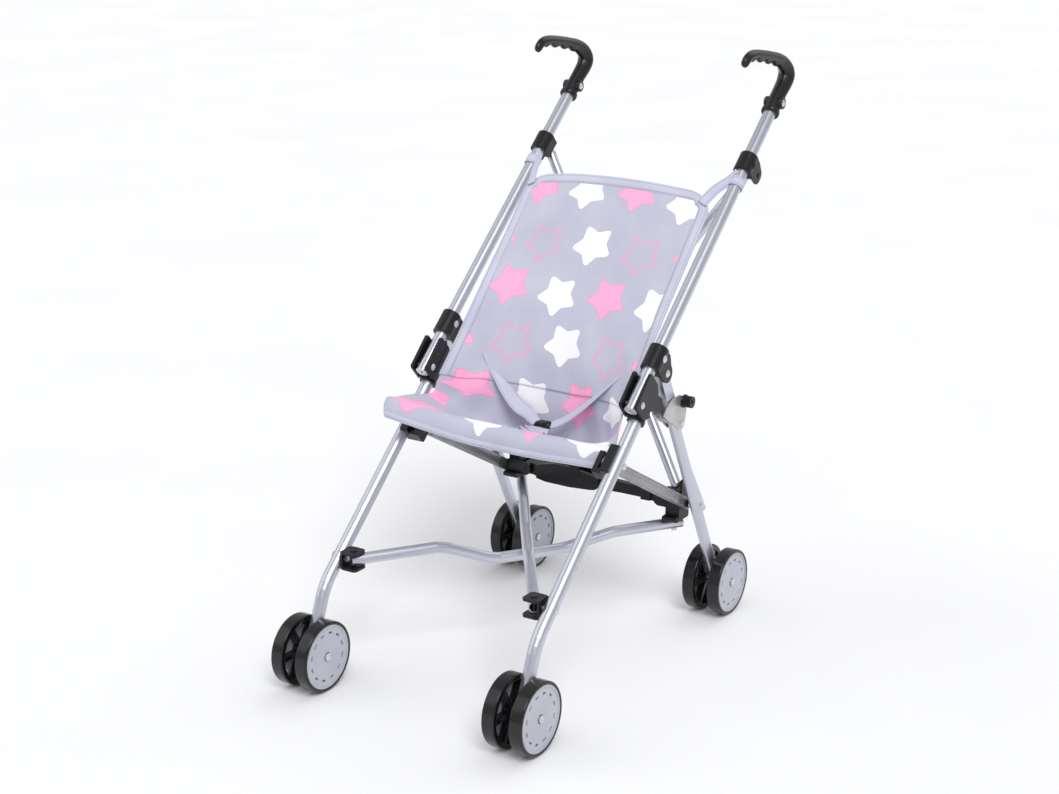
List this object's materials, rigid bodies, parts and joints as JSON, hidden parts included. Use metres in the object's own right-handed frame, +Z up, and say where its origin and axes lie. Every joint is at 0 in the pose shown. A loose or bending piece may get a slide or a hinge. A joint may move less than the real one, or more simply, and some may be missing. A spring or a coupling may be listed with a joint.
{
  "type": "doll stroller",
  "caption": "Umbrella-fold toy stroller for a doll: two tube side frames with hooked grips, folding X braces, twin wheels at each corner and a fabric sling seat.",
  "frame": {"origin": "on the floor under the middle of the overall box", "axes": "+Z up, the stroller faces -Y with its handles to +Y, +X is the doll's left side"},
  "size_m": [0.2732, 0.5269, 0.5593],
  "materials": {
    "tube_metal": "satin",
    "black_plastic": "moulded, semi-gloss",
    "grip_plastic": "moulded, soft sheen",
    "tyre_plastic": "glossy",
    "disc_plastic": "smooth",
    "link_metal": "satin",
    "rivet_metal": "bright",
    "latch_sheet": "satin zinc",
    "sling_fabric": "woven polyester",
    "strap_fabric": "woven tape"
  },
  "bodies": {
    "right_frame": {"front_leg_right": "tube_metal", "leg_bracket_right": "black_plastic", "seat_bracket_right": "black_plastic", "frame_fixings_right": "rivet_metal", "front_axle_right": "rivet_metal", "seat_sling": "sling_fabric"},
    "handle_right": {"handle_tube_right": "tube_metal", "collar_right": "black_plastic", "grip_right": "grip_plastic", "handle_fixings_right": "rivet_metal", "back_sling": "sling_fabric", "shoulder_straps": "strap_fabric"},
    "top_clip_right": {"top_clip_right": "black_plastic"},
    "back_brace_right": {"back_brace_right": "tube_metal"},
    "rear_leg_right": {"rear_leg_right": "tube_metal", "rear_axle_right": "rivet_metal"},
    "link_right": {"side_link_right": "link_metal"},
    "rear_joint_right": {"rear_joint_right": "black_plastic"},
    "front_clamp_right": {"front_clamp_right": "black_plastic"},
    "lower_brace_right": {"lower_brace_right": "tube_metal"},
    "lock_bar_right": {"lock_bar_right": "black_plastic"},
    "wheel_front_right_outer": {"wheel_front_right_outer": "tyre_plastic", "disc_front_right_outer": "disc_plastic"},
    "wheel_front_right_inner": {"wheel_front_right_inner": "tyre_plastic", "disc_front_right_inner": "disc_plastic"},
    "wheel_rear_right_outer": {"wheel_rear_right_outer": "tyre_plastic", "disc_rear_right_outer": "disc_plastic"},
    "wheel_rear_right_inner": {"wheel_rear_right_inner": "tyre_plastic", "disc_rear_right_inner": "disc_plastic"},
    "left_frame": {"front_leg_left": "tube_metal", "leg_bracket_left": "black_plastic", "seat_bracket_left": "black_plastic", "frame_fixings_left": "rivet_metal", "front_axle_left": "rivet_metal"},
    "handle_left": {"handle_tube_left": "tube_metal", "collar_left": "black_plastic", "grip_left": "grip_plastic", "handle_fixings_left": "rivet_metal"},
    "top_clip_left": {"top_clip_left": "black_plastic"},
    "back_brace_left": {"back_brace_left": "tube_metal"},
    "rear_leg_left": {"rear_leg_left": "tube_metal", "rear_axle_left": "rivet_metal", "latch_rivet": "rivet_metal"},
    "link_left": {"side_link_left": "link_metal"},
    "rear_joint_left": {"rear_joint_left": "black_plastic"},
    "front_clamp_left": {"front_clamp_left": "black_plastic"},
    "lower_brace_left": {"lower_brace_left": "tube_metal"},
    "lock_bar_left": {"lock_bar_left": "black_plastic"},
    "wheel_front_left_outer": {"wheel_front_left_outer": "tyre_plastic", "disc_front_left_outer": "disc_plastic"},
    "wheel_front_left_inner": {"wheel_front_left_inner": "tyre_plastic", "disc_front_left_inner": "disc_plastic"},
    "wheel_rear_left_outer": {"wheel_rear_left_outer": "tyre_plastic", "disc_rear_left_outer": "disc_plastic"},
    "wheel_rear_left_inner": {"wheel_rear_left_inner": "tyre_plastic", "disc_rear_left_inner": "disc_plastic"},
    "harness_buckle": {"crotch_strap": "strap_fabric", "buckle": "black_plastic"},
    "safety_latch": {"safety_latch": "latch_sheet", "latch_knob": "black_plastic"}
  },
  "joints": [
    {"name": "fold", "type": "slide", "parent": "right_frame", "child": "left_frame", "axis": [-1, 0, 0], "range_m": [0, 0.112], "deforming": ["back_sling", "seat_sling", "shoulder_straps"]},
    {"name": "handle_turn_right", "type": "hinge", "parent": "right_frame", "child": "handle_right", "pos_m": [-0.116, -0.0434, 0.2635], "axis": [1, 0, 0], "range_deg": [0, 92.32]},
    {"name": "rear_leg_turn_right", "type": "hinge", "parent": "handle_right", "child": "rear_leg_right", "pos_m": [-0.116, 0.0046, 0.2815], "axis": [-1, 0, 0], "range_deg": [0, 48.38]},
    {"name": "link_turn_right", "type": "hinge", "parent": "right_frame", "child": "link_right", "pos_m": [-0.104, -0.0699, 0.2125], "axis": [1, 0, 0], "range_deg": [0, 42.89]},
    {"name": "joint_block_turn_right", "type": "hinge", "parent": "link_right", "child": "rear_joint_right", "pos_m": [-0.104, 0.0851, 0.126], "axis": [-1, 0, 0], "range_deg": [0, 18.91]},
    {"name": "clamp_turn_right", "type": "hinge", "parent": "right_frame", "child": "front_clamp_right", "pos_m": [-0.1079, -0.1839, 0.1133], "axis": [1, 0, 0], "range_deg": [0, 23.98]},
    {"name": "lower_brace_swing_right", "type": "hinge", "parent": "front_clamp_right", "child": "lower_brace_right", "pos_m": [-0.099, -0.1839, 0.1133], "axis": [0, 0, 1], "range_deg": [0, 21.35]},
    {"name": "top_clip_slide_right", "type": "slide", "parent": "handle_right", "child": "top_clip_right", "axis": [0, -0.7501, -0.6613], "range_m": [0, 0.03029]},
    {"name": "back_brace_swing_right", "type": "hinge", "parent": "top_clip_right", "child": "back_brace_right", "pos_m": [-0.112, 0.1786, 0.4385], "axis": [-0.5679, 0.5982, -0.5654], "range_deg": [0, 24.4]},
    {"name": "handle_turn_left", "type": "hinge", "parent": "left_frame", "child": "handle_left", "pos_m": [0.116, -0.0434, 0.2635], "axis": [1, 0, 0], "range_deg": [0, 92.32]},
    {"name": "rear_leg_turn_left", "type": "hinge", "parent": "handle_left", "child": "rear_leg_left", "pos_m": [0.116, 0.0046, 0.2815], "axis": [-1, 0, 0], "range_deg": [0, 48.38]},
    {"name": "link_turn_left", "type": "hinge", "parent": "left_frame", "child": "link_left", "pos_m": [0.104, -0.0699, 0.2125], "axis": [1, 0, 0], "range_deg": [0, 42.89]},
    {"name": "joint_block_turn_left", "type": "hinge", "parent": "link_left", "child": "rear_joint_left", "pos_m": [0.104, 0.0851, 0.126], "axis": [-1, 0, 0], "range_deg": [0, 18.91]},
    {"name": "clamp_turn_left", "type": "hinge", "parent": "left_frame", "child": "front_clamp_left", "pos_m": [0.1079, -0.1839, 0.1133], "axis": [1, 0, 0], "range_deg": [0, 23.98]},
    {"name": "lower_brace_swing_left", "type": "hinge", "parent": "front_clamp_left", "child": "lower_brace_left", "pos_m": [0.099, -0.1839, 0.1133], "axis": [0, 0, -1], "range_deg": [0, 21.35]},
    {"name": "top_clip_slide_left", "type": "slide", "parent": "handle_left", "child": "top_clip_left", "axis": [0, -0.7501, -0.6613], "range_m": [0, 0.03029]},
    {"name": "back_brace_swing_left", "type": "hinge", "parent": "top_clip_left", "child": "back_brace_left", "pos_m": [0.112, 0.1786, 0.4385], "axis": [-0.5679, -0.5982, 0.5654], "range_deg": [0, 24.4]},
    {"name": "lock_bar_rise_right", "type": "hinge", "parent": "rear_joint_right", "child": "lock_bar_right", "pos_m": [-0.079, 0.0871, 0.13], "axis": [0, -1, 0], "range_deg": [0, 68.94]},
    {"name": "lock_bar_rise_left", "type": "hinge", "parent": "rear_joint_left", "child": "lock_bar_left", "pos_m": [0.079, 0.0871, 0.128], "axis": [0, 1, 0], "range_deg": [0, 77.2]},
    {"name": "harness_follow", "type": "slide", "parent": "right_frame", "child": "harness_buckle", "axis": [-1, 0, 0], "range_m": [0, 0.056]},
    {"name": "latch_release", "type": "hinge", "parent": "rear_leg_left", "child": "safety_latch", "pos_m": [0.116, 0.0381, 0.2245], "axis": [1, 0, 0], "range_deg": [0, 12]},
    {"name": "wheel_spin_front_right_outer", "type": "hinge", "parent": "right_frame", "child": "wheel_front_right_outer", "pos_m": [-0.1299, -0.2299, 0.0335], "axis": [1, 0, 0], "continuous": true},
    {"name": "wheel_spin_rear_right_outer", "type": "hinge", "parent": "rear_leg_right", "child": "wheel_rear_right_outer", "pos_m": [-0.1299, 0.1301, 0.0335], "axis": [1, 0, 0], "continuous": true},
    {"name": "wheel_spin_front_right_inner", "type": "hinge", "parent": "right_frame", "child": "wheel_front_right_inner", "pos_m": [-0.1021, -0.2299, 0.0335], "axis": [1, 0, 0], "continuous": true},
    {"name": "wheel_spin_rear_right_inner", "type": "hinge", "parent": "rear_leg_right", "child": "wheel_rear_right_inner", "pos_m": [-0.1021, 0.1301, 0.0335], "axis": [1, 0, 0], "continuous": true},
    {"name": "wheel_spin_front_left_outer", "type": "hinge", "parent": "left_frame", "child": "wheel_front_left_outer", "pos_m": [0.1299, -0.2299, 0.0335], "axis": [1, 0, 0], "continuous": true},
    {"name": "wheel_spin_rear_left_outer", "type": "hinge", "parent": "rear_leg_left", "child": "wheel_rear_left_outer", "pos_m": [0.1299, 0.1301, 0.0335], "axis": [1, 0, 0], "continuous": true},
    {"name": "wheel_spin_front_left_inner", "type": "hinge", "parent": "left_frame", "child": "wheel_front_left_inner", "pos_m": [0.1021, -0.2299, 0.0335], "axis": [1, 0, 0], "continuous": true},
    {"name": "wheel_spin_rear_left_inner", "type": "hinge", "parent": "rear_leg_left", "child": "wheel_rear_left_inner", "pos_m": [0.1021, 0.1301, 0.0335], "axis": [1, 0, 0], "continuous": true}
  ],
  "couplings": [
    {"joint": "handle_turn_right", "follows": "fold", "rad_per_m": 14.386},
    {"joint": "rear_leg_turn_right", "follows": "fold", "rad_per_m": 7.5396},
    {"joint": "link_turn_right", "follows": "fold", "rad_per_m": 6.6831},
    {"joint": "joint_block_turn_right", "follows": "fold", "rad_per_m": 2.9463},
    {"joint": "clamp_turn_right", "follows": "fold", "rad_per_m": 3.7368},
    {"joint": "lower_brace_swing_right", "follows": "fold", "rad_per_m": 3.3272},
    {"joint": "top_clip_slide_right", "follows": "fold", "ratio": 0.27044},
    {"joint": "back_brace_swing_right", "follows": "fold", "rad_per_m": 3.8029},
    {"joint": "handle_turn_left", "follows": "fold", "rad_per_m": 14.386},
    {"joint": "rear_leg_turn_left", "follows": "fold", "rad_per_m": 7.5396},
    {"joint": "link_turn_left", "follows": "fold", "rad_per_m": 6.6831},
    {"joint": "joint_block_turn_left", "follows": "fold", "rad_per_m": 2.9463},
    {"joint": "clamp_turn_left", "follows": "fold", "rad_per_m": 3.7368},
    {"joint": "lower_brace_swing_left", "follows": "fold", "rad_per_m": 3.3272},
    {"joint": "top_clip_slide_left", "follows": "fold", "ratio": 0.27044},
    {"joint": "back_brace_swing_left", "follows": "fold", "rad_per_m": 3.8029},
    {"joint": "lock_bar_rise_right", "follows": "fold", "rad_per_m": 10.743},
    {"joint": "lock_bar_rise_left", "follows": "fold", "rad_per_m": 12.031},
    {"joint": "harness_follow", "follows": "fold", "ratio": 0.5}
  ]
}
